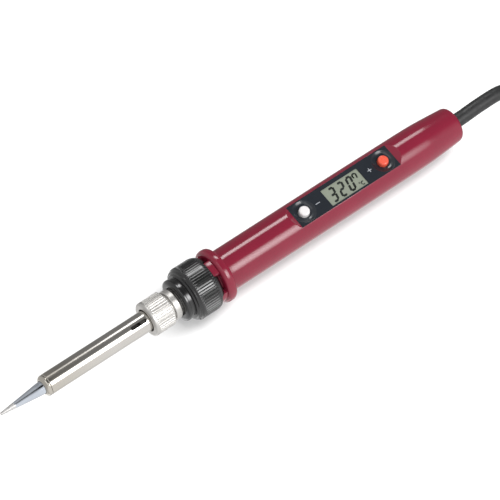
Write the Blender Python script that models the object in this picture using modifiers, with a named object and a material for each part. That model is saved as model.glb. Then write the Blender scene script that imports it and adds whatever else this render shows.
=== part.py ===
"""Temperature-adjustable soldering iron with a display, its mains lead and plug.

The iron lies along X with its tip towards -X and its display facing +Z.
Stations are millimetres along the iron, measured from the end of the tip.
Everything else is in metres. The origin is under the middle of the iron,
on the surface that its flange stands on.
"""

import math

import bmesh
import bpy
from mathutils import Vector

MM = 0.001
GAP = 0.3 * MM  # between neighbouring pieces

# Overall sizes
LENGTH = 229.0  # station of the handle's rear end
FLANGE_RADIUS = 11.75
HANDLE_RADIUS = 9.05
AXIS_Z = FLANGE_RADIUS * MM
STEPS = 32  # facets round a turned piece

# Tip, heater and the steel tube round them
TUBE_RADIUS = 4.44
TUBE_WALL = 0.45
TUBE_FRONT = 20.1
TUBE_FLANGE = (76.1, 77.0)  # stations of the flange that the nut holds
TIP_END_RADIUS = 0.55
TIP_NECK_RADIUS = 2.57
TIP_BODY_RADIUS = 3.25
TIP_BORE_RADIUS = 2.15
TIP_REAR = 42.0
HEATER_RADIUS = 1.95
SLOT_COUNT = 3
SLOT_MIDDLE = 65.2
SLOT_LENGTH = 6.8
SLOT_WIDTH = 1.3
SLOT_TURN = math.radians(17)  # first slot, from straight up towards -Y

# Knurled nut, threaded bush and front collar
NUT_RADIUS = 7.38
NUT_FLUTES = 44
BUSH_BORE = 3.9
COLLAR_RIBS = 64
COLLAR_RADIUS = 11.65
LUG_WIDTH = 7.1
LUG_RADII = (8.5, 10.3)

# Display panel in its flat
PANEL_MIDDLE = 169.5
PANEL_LENGTH = 51.4
PANEL_TOP = 7.15  # height of the flat above the iron's axis
PANEL_THICK = 1.35
POCKET_HALF_WIDTH = 5.3
RAMP_LENGTH = 2.7
WINDOW = (18.7, 8.3)
BUTTON_OFFSET = 20.6  # of each button from the panel's middle
BUTTON_RADIUS = 2.25
BUTTON_TOP = 8.35
WELL_RADIUS = 4.5
SHELL_BORE = 6.9

# Circuit board, heights above the iron's axis
BOARD_TOP = 1.8
BOARD_THICK = 1.2
SWITCH_TOP = 4.4

# Mains lead
CORD_RADIUS = 3.05
HANK_NEAR = 0.173  # X of the hank's nearer end
HANK_RUN = 0.099  # straight length of a run
HANK_LOOP = 6 * CORD_RADIUS  # radius of an end loop, in millimetres
HANK_PINCH = 10.0  # how far the tie draws the runs in
HANK_TURNS = 3
TURN_RISE = 6.2  # each turn lies this far above the last
TIE_THICK = 0.9
PLUG_SIZE = (0.034, 0.036, 0.0150)
PIN_SPACING = 18.6


def at(station, y=0.0, z=0.0):
    """A point at a station, with y and z in millimetres from the iron's axis."""
    return Vector(((station - LENGTH / 2) * MM, y * MM, AXIS_Z + z * MM))


def clear_scene():
    for item in list(bpy.data.objects):
        bpy.data.objects.remove(item, do_unlink=True)


def collection(name):
    made = bpy.data.collections.new(name)
    bpy.context.scene.collection.children.link(made)
    return made


def material(name, colour, roughness, metallic=0.0):
    made = bpy.data.materials.new(name)
    made.use_nodes = True
    shader = made.node_tree.nodes["Principled BSDF"]
    shader.inputs["Base Color"].default_value = (*colour, 1.0)
    shader.inputs["Roughness"].default_value = roughness
    shader.inputs["Metallic"].default_value = metallic
    made.diffuse_color = (*colour, 1.0)
    return made


clear_scene()
PARTS = collection("soldering_iron")
CUTTERS = collection("cutters")

RED_PLASTIC = material("red_plastic", (0.30, 0.02, 0.045), 0.32)
BLACK_PLASTIC = material("black_plastic", (0.035, 0.036, 0.04), 0.45)
PANEL_BLACK = material("panel_black", (0.03, 0.033, 0.042), 0.3)
STEEL = material("polished_steel", (0.62, 0.60, 0.56), 0.25, 1.0)
NICKEL = material("nickel_plate", (0.72, 0.71, 0.69), 0.3, 1.0)
TIP_PLATE = material("tip_plate", (0.55, 0.60, 0.68), 0.18, 1.0)
CERAMIC = material("ceramic", (0.80, 0.78, 0.72), 0.6)
BOARD_GREEN = material("board_green", (0.02, 0.16, 0.06), 0.45)
CHIP_BLACK = material("chip_black", (0.02, 0.02, 0.02), 0.5)
LCD_GREY = material("lcd_grey", (0.25, 0.28, 0.22), 0.2)
WHITE_BUTTON = material("white_button", (0.85, 0.83, 0.82), 0.35)
RED_BUTTON = material("red_button", (0.85, 0.12, 0.05), 0.35)
CAPACITOR_BLUE = material("capacitor_blue", (0.05, 0.10, 0.35), 0.4)
RESISTOR_GREY = material("resistor_grey", (0.35, 0.40, 0.45), 0.5)
WIRE_WHITE = material("wire_white", (0.75, 0.75, 0.72), 0.5)
WIRE_BROWN = material("wire_brown", (0.20, 0.07, 0.03), 0.5)
WIRE_BLUE = material("wire_blue", (0.03, 0.12, 0.45), 0.5)
WIRE_GREEN = material("wire_green", (0.10, 0.40, 0.05), 0.5)
CORD_BLACK = material("cord_black", (0.04, 0.04, 0.042), 0.5)
BRASS = material("brass", (0.72, 0.52, 0.20), 0.3, 1.0)


def add(name, data, finish=None):
    """A new object in the parts' collection, or as a hidden cutter with no finish."""
    made = bpy.data.objects.new(name, data)
    (PARTS if finish else CUTTERS).objects.link(made)
    if finish:
        data.materials.append(finish)
    else:
        made.hide_render = True
        made.display_type = "WIRE"
    return made


def shade(made, angle=35):
    made.data.shade_smooth()
    made.data.set_sharp_from_angle(angle=math.radians(angle))
    return made


def lay_on_axis(made):
    """Turns an object's own Z into the iron's direction, with its zero at station 0."""
    made.location = at(0)
    made.rotation_euler = (0, math.pi / 2, 0)
    return made


def turned(name, outer, bore=None, finish=None, steps=STEPS):
    """A piece turned about the iron's axis from (station, radius) pairs, front to rear.

    Without a bore its outline starts and ends on the axis.
    """
    points = list(reversed(outer)) + list(bore or [])
    data = bpy.data.meshes.new(name)
    edges = [(i, i + 1) for i in range(len(points) - 1)]
    if bore:
        edges.append((len(points) - 1, 0))
    data.from_pydata([(r * MM, 0, s * MM) for s, r in points], edges, [])
    made = lay_on_axis(add(name, data, finish))
    screw = made.modifiers.new("turn", "SCREW")
    screw.steps = steps
    screw.render_steps = steps
    screw.use_merge_vertices = True
    screw.merge_threshold = 0.00001
    screw.use_smooth_shade = True
    return made


def box(name, low, high, finish=None, bevel=0.0):
    """A box between two corners, with rounded edges if it has a bevel in millimetres."""
    data = bpy.data.meshes.new(name)
    form = bmesh.new()
    bmesh.ops.create_cube(form, size=1.0)
    size = [abs(b - a) for a, b in zip(low, high, strict=True)]
    bmesh.ops.scale(form, vec=size, verts=form.verts)
    form.to_mesh(data)
    form.free()
    made = add(name, data, finish)
    made.location = [(a + b) / 2 for a, b in zip(low, high, strict=True)]
    if bevel:
        rounded = made.modifiers.new("rounded edges", "BEVEL")
        rounded.width = bevel * MM
        rounded.segments = 1
        rounded.limit_method = "ANGLE"
    return made


def rod(name, middle, radius, length, finish=None, direction="Z", sides=20, bevel=0.0):
    """A round bar with its middle at a point, radius and length in millimetres."""
    data = bpy.data.meshes.new(name)
    form = bmesh.new()
    bmesh.ops.create_cone(
        form,
        cap_ends=True,
        segments=sides,
        radius1=radius * MM,
        radius2=radius * MM,
        depth=length * MM,
    )
    form.to_mesh(data)
    form.free()
    made = add(name, data, finish)
    made.location = middle
    if direction == "X":
        made.rotation_euler = (0, math.pi / 2, 0)
    if bevel:
        rounded = made.modifiers.new("rounded rim", "BEVEL")
        rounded.width = bevel * MM
        rounded.segments = 1
        rounded.limit_method = "ANGLE"
    return shade(made)


def combine(made, other, operation):
    """Cuts, joins or intersects one piece with another."""
    step = made.modifiers.new(operation.lower(), "BOOLEAN")
    step.operation = operation
    step.object = other
    step.solver = "EXACT"
    return made


def outline(name, points, thick, finish=None, holes=()):
    """A flat plate in its own XY plane from closed outlines, made a mesh."""
    curve = bpy.data.curves.new(name, "CURVE")
    curve.dimensions = "2D"
    curve.fill_mode = "BOTH"
    curve.extrude = thick / 2
    for ring in (points, *holes):
        spline = curve.splines.new("POLY")
        spline.points.add(len(ring) - 1)
        for point, (x, y) in zip(spline.points, ring, strict=True):
            point.co = (x, y, 0, 1)
        spline.use_cyclic_u = True
    drawn = bpy.data.objects.new(name + "_curve", curve)
    bpy.context.scene.collection.objects.link(drawn)
    ready = drawn.evaluated_get(bpy.context.evaluated_depsgraph_get())
    data = bpy.data.meshes.new_from_object(ready)
    bpy.data.objects.remove(drawn)
    form = bmesh.new()
    form.from_mesh(data)
    bmesh.ops.remove_doubles(form, verts=form.verts, dist=0.000001)
    form.to_mesh(data)
    form.free()
    data.name = name
    data.materials.clear()
    return add(name, data, finish)


def flutes(name, radius, depth, count, front, rear):
    """A fluted prism along the iron's axis: what stays of a turned piece inside it is fluted."""
    ring = []
    for i in range(count):
        for share, r in ((0.0, radius), (0.5, radius), (0.62, radius - depth), (0.88, radius - depth)):
            angle = 2 * math.pi * (i + share) / count
            ring.append((r * MM * math.cos(angle), r * MM * math.sin(angle)))
    made = lay_on_axis(outline(name, ring, (rear - front) * MM))
    made.location = at((front + rear) / 2)
    return made


def wire(name, points, radius, finish, sides_level=2):
    """A round wire through points, with filled ends."""
    curve = bpy.data.curves.new(name, "CURVE")
    curve.dimensions = "3D"
    curve.bevel_depth = radius * MM
    curve.bevel_resolution = sides_level
    curve.use_fill_caps = True
    spline = curve.splines.new("POLY")
    spline.points.add(len(points) - 1)
    for point, place in zip(spline.points, points, strict=True):
        point.co = (*place, 1)
    return add(name, curve, finish)


def smooth_through(points, spacing):
    """Evenly spaced points along a smooth curve through the given ones."""
    ends = [points[0] * 2 - points[1], *points, points[-1] * 2 - points[-2]]
    fine = []
    for a, b, c, d in zip(ends, ends[1:], ends[2:], ends[3:], strict=False):
        slope, bend, twist = c - a, 2 * a - 5 * b + 4 * c - d, 3 * b - 3 * c + d - a
        for i in range(24):
            t = i / 24
            fine.append(0.5 * (2 * b + slope * t + bend * t**2 + twist * t**3))
    fine.append(points[-1])
    total = sum((b - a).length for a, b in zip(fine, fine[1:], strict=False))
    count = max(2, round(total / spacing))
    even, walked, due = [fine[0]], 0.0, total / count
    for a, b in zip(fine, fine[1:], strict=False):
        length = (b - a).length
        while walked + length >= due - 1e-9 and len(even) < count:
            even.append(a.lerp(b, (due - walked) / length))
            due += total / count
        walked += length
    return [*even, points[-1]]


# ---------------------------------------------------------------- front end


def make_tip():
    return turned(
        "soldering_tip",
        [
            (0, 0),
            (0, TIP_END_RADIUS * 0.7),
            (0.3, TIP_END_RADIUS),
            (17.6, TIP_NECK_RADIUS),
            (21.6, TIP_NECK_RADIUS),
            (21.9, TIP_BODY_RADIUS - 0.25),
            (22.2, TIP_BODY_RADIUS),
            (TIP_REAR, TIP_BODY_RADIUS),
            (TIP_REAR, TIP_BORE_RADIUS),
            (23.9, TIP_BORE_RADIUS),
            (23.2, 0),
        ],
        finish=TIP_PLATE,
        steps=24,
    )


def make_tube():
    """Steel tube: its front lip turns in to hold the tip, its rear flange sits in the nut."""
    inside = TUBE_RADIUS - TUBE_WALL
    lip_hole = TIP_NECK_RADIUS + 0.3
    tube = turned(
        "heater_tube",
        [
            (TUBE_FRONT, lip_hole),
            (TUBE_FRONT, 3.1),
            (TUBE_FRONT + 0.4, 3.65),
            (TUBE_FRONT + 1.1, 4.05),
            (TUBE_FRONT + 2.0, 4.32),
            (TUBE_FRONT + 3.0, TUBE_RADIUS),
            (TUBE_FLANGE[0], TUBE_RADIUS),
            (TUBE_FLANGE[0], 5.9),
            (TUBE_FLANGE[1], 5.9),
        ],
        [
            (TUBE_FRONT + 0.6, lip_hole),
            (TUBE_FRONT + 1.2, inside - 0.3),
            (TUBE_FRONT + 2.0, inside),
            (TUBE_FLANGE[1], inside),
        ],
        STEEL,
    )
    for i in range(SLOT_COUNT):
        angle = SLOT_TURN + 2 * math.pi * i / SLOT_COUNT
        half = SLOT_LENGTH / 2 - SLOT_WIDTH / 2
        ring = [
            (
                (side * half + SLOT_WIDTH / 2 * math.cos(a)) * MM,
                SLOT_WIDTH / 2 * math.sin(a) * MM,
            )
            for side, start in ((1, -90), (-1, 90))
            for a in (math.radians(start + 30 * k) for k in range(7))
        ]
        cutter = outline(f"slot_cutter_{i}", ring, 2 * MM)
        radius = TUBE_RADIUS
        cutter.location = at(SLOT_MIDDLE, -radius * math.sin(angle), radius * math.cos(angle))
        cutter.rotation_euler = (angle, 0, 0)
        combine(tube, cutter, "DIFFERENCE")
    return tube


def make_nut():
    nut = turned(
        "retaining_nut",
        [
            (70.0, 4.9),
            (70.0, 6.8),
            (70.5, NUT_RADIUS),
            (79.2, NUT_RADIUS),
            (79.6, NUT_RADIUS - 0.4),
        ],
        [(75.8, 4.9), (75.8, 6.25), (79.6, 6.25)],
        NICKEL,
    )
    return combine(nut, flutes("nut_flutes", NUT_RADIUS + 0.02, 0.3, NUT_FLUTES, 60, 90), "INTERSECT")


def make_heater():
    turned(
        "heater_element",
        [(24.5, 0), (24.5, 1.6), (24.9, HEATER_RADIUS), (78.0, HEATER_RADIUS), (78.0, 0)],
        finish=CERAMIC,
        steps=20,
    )
    turned(
        "heater_mount",
        [(66.0, 3.3), (66.3, 3.6), (80.0, 3.6)],
        [(66.0, HEATER_RADIUS + 0.3), (80.0, HEATER_RADIUS + 0.3)],
        CERAMIC,
        steps=24,
    )


def make_bush():
    turned(
        "thread_bush",
        [
            (77.3, 5.6),
            (77.6, 5.95),
            (79.8, 5.95),
            (80.1, 5.6),
            (80.5, 5.6),
            (80.9, 6.2),
            (81.6, 6.45),
            (82.7, 6.45),
            (83.4, 6.2),
            (83.8, 5.85),
            (86.3, 5.85),
            (86.3, 7.2),
            (88.3, 7.2),
            (88.3, 5.6),
            (93.0, 5.6),
        ],
        [(77.3, BUSH_BORE), (93.0, BUSH_BORE)],
        NICKEL,
    )
    turned(
        "bush_washer",
        [(88.6, 7.2), (89.4, 7.2)],
        [(88.6, 5.9), (89.4, 5.9)],
        STEEL,
        steps=24,
    )
    locknut = turned(
        "bush_locknut",
        [(89.7, 7.3), (92.2, 7.3)],
        [(89.7, 5.9), (92.2, 5.9)],
        BRASS,
        steps=24,
    )
    combine(locknut, rod("hexagon", at(91.0), 7.3, 8.0, None, "X", 6), "INTERSECT")


def spokes(name, front, rear, width):
    """Two crossed slabs through the axis, that pick out four places round it."""
    half, reach = width / 2, 13.0
    return [
        box(f"{name}_upright", at(front, -half, -reach), at(rear, half, reach)),
        box(f"{name}_level", at(front, -reach, -half), at(rear, reach, half)),
    ]


def make_collar():
    collar = turned(
        "front_collar",
        [
            (84.2, 6.15),
            (84.2, 7.0),
            (84.5, 7.9),
            (84.9, 8.7),
            (85.4, 9.14),
            (86.3, 9.14),
            (86.4, 8.75),
            (88.0, 8.75),
            (88.1, 9.75),
            (89.8, 11.45),
            (90.3, COLLAR_RADIUS),
            (98.3, COLLAR_RADIUS),
            (99.1, 11.4),
            (99.7, 10.9),
            (100.0, 10.2),
            (101.4, 10.0),
            (101.4, 8.25),
        ],
        [(86.0, 6.15), (86.0, 7.6), (93.5, 7.6), (93.5, 8.25), (101.3, 8.25)],
        BLACK_PLASTIC,
    )
    combine(collar, flutes("collar_flutes", COLLAR_RADIUS + 0.02, 0.35, COLLAR_RIBS, 80, 110), "INTERSECT")
    for cutter in spokes("notch", 99.7, 103, LUG_WIDTH + 0.6):
        combine(collar, cutter, "DIFFERENCE")
    return collar


# ---------------------------------------------------------------- handle


def rounded_end(station, radius, corner, parts=4):
    """The outline's last points: a corner of the given radius, ending on the flat end face."""
    return [
        (
            station - corner + corner * math.sin(math.pi / 2 * i / parts),
            radius - corner + corner * math.cos(math.pi / 2 * i / parts),
        )
        for i in range(parts + 1)
    ]


def bead(front, rear, foot, top, parts=8):
    """A rounded bead's outline from front to rear, half an ellipse over its foot."""
    middle, half = (front + rear) / 2, (rear - front) / 2
    return [
        (middle - half * math.cos(math.pi * i / parts), foot + (top - foot) * math.sin(math.pi * i / parts))
        for i in range(parts + 1)
    ]


def make_shell():
    """Handle shell in one piece: spigot, four lugs, flange bead, grip, display flat, rear cord hole."""
    shell = turned(
        "handle_shell",
        [
            (94.0, 7.95),
            (102.7, 7.95),
            *bead(102.7, 107.2, 9.6, FLANGE_RADIUS),
            (107.7, 9.15),
            (108.8, 8.95),
            (124.5, 8.97),
            (169.5, HANDLE_RADIUS),
            (205.6, 8.93),
            (212.0, 8.8),
            (217.0, 8.5),
            (222.0, 8.15),
            *rounded_end(LENGTH, 7.75, 2.2),
        ],
        [
            (94.0, SHELL_BORE),
            (220.0, SHELL_BORE),
            (224.0, CORD_RADIUS + 0.35),
            (LENGTH, CORD_RADIUS + 0.35),
        ],
        RED_PLASTIC,
        steps=36,
    )
    for i, slab in enumerate(spokes("lug", 99, 104, LUG_WIDTH)):
        arm = turned(
            f"lug_pair_{i}",
            [(100.0, LUG_RADII[1] - 0.2), (100.2, LUG_RADII[1]), (103.9, LUG_RADII[1])],
            [(100.0, LUG_RADII[0]), (103.9, LUG_RADII[0])],
        )
        combine(arm, slab, "INTERSECT")
        combine(shell, arm, "UNION")
    front = PANEL_MIDDLE - PANEL_LENGTH / 2
    rear = PANEL_MIDDLE + PANEL_LENGTH / 2
    rise = 4.0
    slope = RAMP_LENGTH / (HANDLE_RADIUS - PANEL_TOP) * rise
    flat = outline(
        "display_flat",
        [
            (front * MM, 0),
            (rear * MM, 0),
            ((rear + slope) * MM, rise * MM),
            ((front - slope) * MM, rise * MM),
        ],
        30 * MM,
    )
    flat.rotation_euler = (math.pi / 2, 0, 0)
    flat.location = at(0, 0, PANEL_TOP)
    combine(shell, flat, "DIFFERENCE")
    pocket = box(
        "panel_pocket",
        at(front + 0.01, -POCKET_HALF_WIDTH, PANEL_TOP - PANEL_THICK - 0.3),
        at(rear - 0.01, POCKET_HALF_WIDTH, PANEL_TOP + 1),
    )
    return combine(shell, pocket, "DIFFERENCE")


def make_panel():
    half = PANEL_LENGTH / 2 - 0.3
    panel = box(
        "display_panel",
        at(PANEL_MIDDLE - half, -POCKET_HALF_WIDTH + 0.3, PANEL_TOP - PANEL_THICK),
        at(PANEL_MIDDLE + half, POCKET_HALF_WIDTH - 0.3, PANEL_TOP),
        PANEL_BLACK,
    )
    window = box(
        "window_cutter",
        at(PANEL_MIDDLE - WINDOW[0] / 2, -WINDOW[1] / 2, 0),
        at(PANEL_MIDDLE + WINDOW[0] / 2, WINDOW[1] / 2, 20),
    )
    combine(panel, window, "DIFFERENCE")
    for side, name in ((-1, "minus"), (1, "plus")):
        station = PANEL_MIDDLE + side * BUTTON_OFFSET
        well = rod(f"{name}_well", at(station, 0, PANEL_TOP + 1.55), WELL_RADIUS, 4.0)
        hole = rod(f"{name}_hole", at(station, 0, PANEL_TOP), BUTTON_RADIUS + 0.3, 6.0)
        combine(panel, well, "DIFFERENCE")
        combine(panel, hole, "DIFFERENCE")
    return panel


def upright(name, station, outline_points, finish, steps=24):
    """A piece turned about a vertical line through a station, from (height, radius), top to bottom."""
    data = bpy.data.meshes.new(name)
    points = [(r * MM, 0, z * MM) for z, r in outline_points]
    data.from_pydata(points, [(i, i + 1) for i in range(len(points) - 1)], [])
    made = add(name, data, finish)
    made.location = at(station)
    screw = made.modifiers.new("turn", "SCREW")
    screw.steps = steps
    screw.render_steps = steps
    screw.use_merge_vertices = True
    screw.merge_threshold = 0.00001
    screw.use_smooth_shade = True
    return made


def make_button(name, side, finish):
    """One push button: its cap, the switch's plunger below it, and the switch on the board."""
    station = PANEL_MIDDLE + side * BUTTON_OFFSET
    under = PANEL_TOP - PANEL_THICK
    upright(
        f"{name}_button_cap",
        station,
        [
            (BUTTON_TOP, 0),
            (BUTTON_TOP, BUTTON_RADIUS - 0.45),
            (BUTTON_TOP - 0.15, BUTTON_RADIUS - 0.15),
            (BUTTON_TOP - 0.5, BUTTON_RADIUS),
            (under - 0.4, BUTTON_RADIUS),
            (under - 0.4, BUTTON_RADIUS + 0.6),
            (under - 0.9, BUTTON_RADIUS + 0.6),
            (under - 0.9, 0),
        ],
        finish,
    )
    upright(
        f"{name}_switch_plunger",
        station,
        [(under - 1.2, 0), (under - 1.2, 1.1), (SWITCH_TOP - 0.6, 1.1), (SWITCH_TOP - 0.6, 0)],
        CHIP_BLACK,
        steps=16,
    )
    body = box(
        f"{name}_switch_body",
        at(station - 3, -3, BOARD_TOP + 0.3),
        at(station + 3, 3, SWITCH_TOP),
        CHIP_BLACK,
        bevel=0.3,
    )
    seat = rod(f"{name}_switch_seat", at(station, 0, SWITCH_TOP), 1.4, 2.0)
    combine(body, seat, "DIFFERENCE")


def make_display():
    middle = PANEL_MIDDLE
    half_length, half_width = WINDOW[0] / 2 - 0.4, WINDOW[1] / 2 - 0.35
    box(
        "lcd_glass",
        at(middle - half_length, -half_width, 4.9),
        at(middle + half_length, half_width, PANEL_TOP - 0.35),
        LCD_GREY,
        bevel=0.1,
    )
    box("lcd_rear_glass", at(middle - 10.1, -4.3, 3.7), at(middle + 10.1, 4.3, 4.6), LCD_GREY)
    box("lcd_connector", at(middle - 8.5, 2.4, BOARD_TOP + 0.3), at(middle + 8.5, 4.0, 3.4), CHIP_BLACK)


def make_board():
    board = box(
        "circuit_board",
        at(121.0, -6.1, BOARD_TOP - BOARD_THICK),
        at(206.0, 6.1, BOARD_TOP),
        BOARD_GREEN,
        bevel=0.2,
    )
    under = BOARD_TOP - BOARD_THICK - 0.3
    above = BOARD_TOP + 0.3
    box("microcontroller", at(162.0, -2.0, under - 1.6), at(172.0, 2.0, under), CHIP_BLACK, bevel=0.15)
    box("triac", at(126.0, -3.2, under - 2.2), at(132.5, 3.2, under), CHIP_BLACK, bevel=0.2)
    box("film_capacitor", at(128.0, -2.4, above), at(140.0, 2.4, above + 3.6), CAPACITOR_BLUE, bevel=0.5)
    rod("electrolytic_capacitor", at(182.0, 0, under - 2.3), 2.3, 10.0, CHIP_BLACK, "X", 20, 0.3)
    rod("dropper_resistor", at(151.0, 0, under - 1.6), 1.6, 10.0, RESISTOR_GREY, "X", 16, 0.4)
    rod("fuse", at(200.0, 0, above + 1.3), 1.3, 8.0, WIRE_WHITE, "X", 16, 0.3)
    return board


def make_leads():
    """The four leads from the heater's rear end to the front of the board."""
    ends = {
        "heater_lead_1": (0.8, 0.8, WIRE_WHITE),
        "heater_lead_2": (-0.8, 0.8, WIRE_WHITE),
        "sensor_lead_1": (0.8, -0.8, WIRE_BLUE),
        "sensor_lead_2": (-0.8, -0.8, WIRE_BROWN),
    }
    for name, (y, z, finish) in ends.items():
        points = [
            at(78.3, y, z),
            at(82.0, y, z),
            at(92.0, y * 2.2, z * 2.2),
            at(104.0, y * 3.4, z * 2.6),
            at(114.0, y * 3.2, z * 1.5 + 1.2),
            at(120.7, y * 3.2, z + 1.2),
        ]
        wire(name, smooth_through(points, 4 * MM), 0.5, finish, 1)


# ---------------------------------------------------------------- mains lead


def hank_centre():
    return HANK_NEAR + HANK_RUN / 2 + (HANK_LOOP + CORD_RADIUS) * MM


def hank_side(share):
    """Half the width between the two runs, at a share of a run from its middle, -1 to 1."""
    return HANK_LOOP - HANK_PINCH * math.cos(math.pi / 2 * share) ** 2


def hank_outline(margin, parts=10):
    """The hank seen from above, that much outside the middle of its cord, in metres."""
    half = HANK_RUN / 2
    ring = []
    for way in (1, -1):
        for i in range(-parts, parts):
            share = way * i / parts
            ring.append((share * half, -way * (hank_side(share) + margin) * MM))
        for i in range(parts):
            angle = way * math.pi / 2 * (1 - 2 * i / parts)
            radius = (HANK_LOOP + margin) * MM
            ring.append((way * (half + radius * math.cos(angle)), -radius * math.sin(angle)))
    return ring


def make_cord():
    lowest = (TIE_THICK + 0.5) * MM
    height = (2 * CORD_RADIUS + HANK_TURNS * TURN_RISE) * MM
    hank = outline("cord_hank", hank_outline(CORD_RADIUS), height, CORD_BLACK)
    hank.location = (hank_centre(), 0, lowest + height / 2)
    entry = Vector((HANK_NEAR - 0.0004, -0.004, lowest + CORD_RADIUS * MM))
    route = [
        at(211.0),
        at(222.0),
        at(233.0),
        at(243.0, 0.3, 0.3),
        at(254.0, 0.3, 0.0),
        Vector((HANK_NEAR - 0.027, -0.0005, 0.0098)),
        Vector((HANK_NEAR - 0.015, -0.002, 0.0062)),
        Vector((HANK_NEAR - 0.0065, -0.0032, 0.0047)),
        entry,
    ]
    wire("cord_lead", smooth_through(route, 9 * MM), CORD_RADIUS, CORD_BLACK)

    far = HANK_NEAR + HANK_RUN + 2 * (HANK_LOOP + CORD_RADIUS) * MM
    top = lowest + height - CORD_RADIUS * MM
    plug_front = far + 0.052
    plug_z = PLUG_SIZE[2] / 2
    tail = [
        Vector((far + 0.0006, -0.004, top)),
        Vector((far + 0.010, -0.0034, top - 0.0012)),
        Vector((far + 0.022, -0.0022, top - 0.0065)),
        Vector((far + 0.034, -0.0009, top - 0.0130)),
        Vector((far + 0.044, 0.0, plug_z + 0.0006)),
        Vector((plug_front - GAP, 0.0, plug_z)),
    ]
    wire("cord_tail", smooth_through(tail, 9 * MM), CORD_RADIUS, CORD_BLACK)
    make_tie(lowest + height)
    make_plug(plug_front, plug_z)


def make_tie(hank_top):
    """A strap round the drawn-in middle of the hank, closed on itself."""
    half = hank_side(0) + CORD_RADIUS + 0.5
    inner_low, inner_high = TIE_THICK * MM, hank_top + GAP
    rings = []
    for out in (TIE_THICK, 0.0):
        corner = 0.2 + out
        y, low, high = half + out, inner_low - out * MM, inner_high + out * MM
        ring = []
        for sy, z, sz in ((1, high, 1), (-1, high, 1), (-1, low, -1), (1, low, -1)):
            for i in range(5):
                turn = math.pi / 8 * i
                a, b = (math.cos(turn), math.sin(turn)) if sy * sz > 0 else (math.sin(turn), math.cos(turn))
                ring.append(
                    (sy * (y - corner + corner * a) * MM, z + sz * (corner * b - corner) * MM)
                )
        rings.append(ring)
    tie = outline("hank_tie", rings[0], 9 * MM, CORD_BLACK, holes=[rings[1]])
    tie.rotation_euler = (math.pi / 2, 0, math.pi / 2)
    tie.location = (hank_centre(), 0, 0)


def make_plug(front, z):
    """Two-pin plug lying flat: tapered boot, body and two round pins."""
    boot_length = 0.022
    boot = rod("plug_boot", (front + boot_length / 2, 0, z), 4.0, boot_length / MM, BLACK_PLASTIC, "X", 20)
    for vertex in boot.data.vertices:
        if vertex.co.z > 0:
            vertex.co.x *= 1.5
            vertex.co.y *= 1.5
    start = front + boot_length + GAP
    length, width, _ = PLUG_SIZE
    corner = 0.010
    ring = []
    for x, y, first in (
        (start + length, width / 2, 0),
        (start, width / 2, 90),
        (start, -width / 2, 180),
        (start + length, -width / 2, 270),
    ):
        inset = corner if x == start else 0.002
        cx = x + inset if x == start else x - inset
        cy = y - math.copysign(inset, y)
        for i in range(5):
            angle = math.radians(first + 22.5 * i)
            ring.append((cx + inset * math.cos(angle), cy + inset * math.sin(angle)))
    body = outline("plug_body", ring, PLUG_SIZE[2], BLACK_PLASTIC)
    body.location = (0, 0, z)
    rounded = body.modifiers.new("rounded edges", "BEVEL")
    rounded.width = 1.2 * MM
    rounded.segments = 2
    rounded.limit_method = "ANGLE"
    rounded.angle_limit = math.radians(60)
    for side, name in ((-1, "plug_pin_1"), (1, "plug_pin_2")):
        middle = (start + length + GAP + 0.0095, side * PIN_SPACING / 2 * MM, z)
        rod(name, middle, 2.0, 19.0, BRASS, "X", 20, 0.6)


def make_cord_entry():
    """Inside the handle's rear: the clamp round the lead, its screw, and the lead's three cores."""
    clamp = turned(
        "cord_clamp",
        [(213.0, 6.2), (213.3, 6.5), (217.7, 6.5), (218.0, 6.2)],
        [(213.0, CORD_RADIUS + 0.3), (218.0, CORD_RADIUS + 0.3)],
        BLACK_PLASTIC,
        steps=24,
    )
    bore = rod("clamp_screw_hole", at(215.5, 4.9, 0), 1.2, 20.0)
    combine(clamp, bore, "DIFFERENCE")
    rod("clamp_screw", at(215.5, 4.9, 0), 0.9, 6.0, STEEL, "Z", 16, 0.2)
    for name, y, z, finish in (
        ("live_core", 1.6, 0.4, WIRE_BROWN),
        ("neutral_core", -1.6, 0.4, WIRE_BLUE),
        ("earth_core", 0.0, -1.5, WIRE_GREEN),
    ):
        points = [at(210.7, y, z), at(209.0, y, z), at(207.5, y * 1.2, z), at(206.3, y * 1.3, z)]
        wire(name, smooth_through(points, 1.5 * MM), 0.7, finish, 1)


make_tip()
make_tube()
make_nut()
make_heater()
make_bush()
make_collar()
make_shell()
make_panel()
make_button("minus", -1, WHITE_BUTTON)
make_button("plus", 1, RED_BUTTON)
make_display()
make_board()
make_leads()
make_cord_entry()
make_cord()
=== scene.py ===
"""The soldering iron's looks: fine pieces, materials, floor, light and camera round its CAD frame.

The iron lies along X with its tip towards -X and its display facing +Z. Stations are
millimetres along the iron from the end of the tip. Heights and radii in millimetres are
measured from the iron's own axis. Everything else is in metres.
"""

import math

import bmesh
import bpy
import numpy as np
from mathutils import Matrix, Vector


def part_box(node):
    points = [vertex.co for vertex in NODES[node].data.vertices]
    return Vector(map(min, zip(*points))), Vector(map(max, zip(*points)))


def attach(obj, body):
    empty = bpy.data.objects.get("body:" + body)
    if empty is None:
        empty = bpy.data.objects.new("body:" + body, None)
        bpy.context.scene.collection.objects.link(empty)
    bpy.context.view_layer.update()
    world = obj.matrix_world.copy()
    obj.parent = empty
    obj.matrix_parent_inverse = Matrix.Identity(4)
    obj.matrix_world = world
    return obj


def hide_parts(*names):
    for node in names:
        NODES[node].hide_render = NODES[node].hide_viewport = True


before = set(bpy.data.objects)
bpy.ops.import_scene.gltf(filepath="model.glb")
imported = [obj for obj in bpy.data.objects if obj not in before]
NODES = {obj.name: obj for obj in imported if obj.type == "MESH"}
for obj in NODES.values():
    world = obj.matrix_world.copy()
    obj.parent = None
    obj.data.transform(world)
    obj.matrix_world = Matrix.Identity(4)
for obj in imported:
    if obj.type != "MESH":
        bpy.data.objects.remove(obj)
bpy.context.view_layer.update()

MM = 0.001
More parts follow.
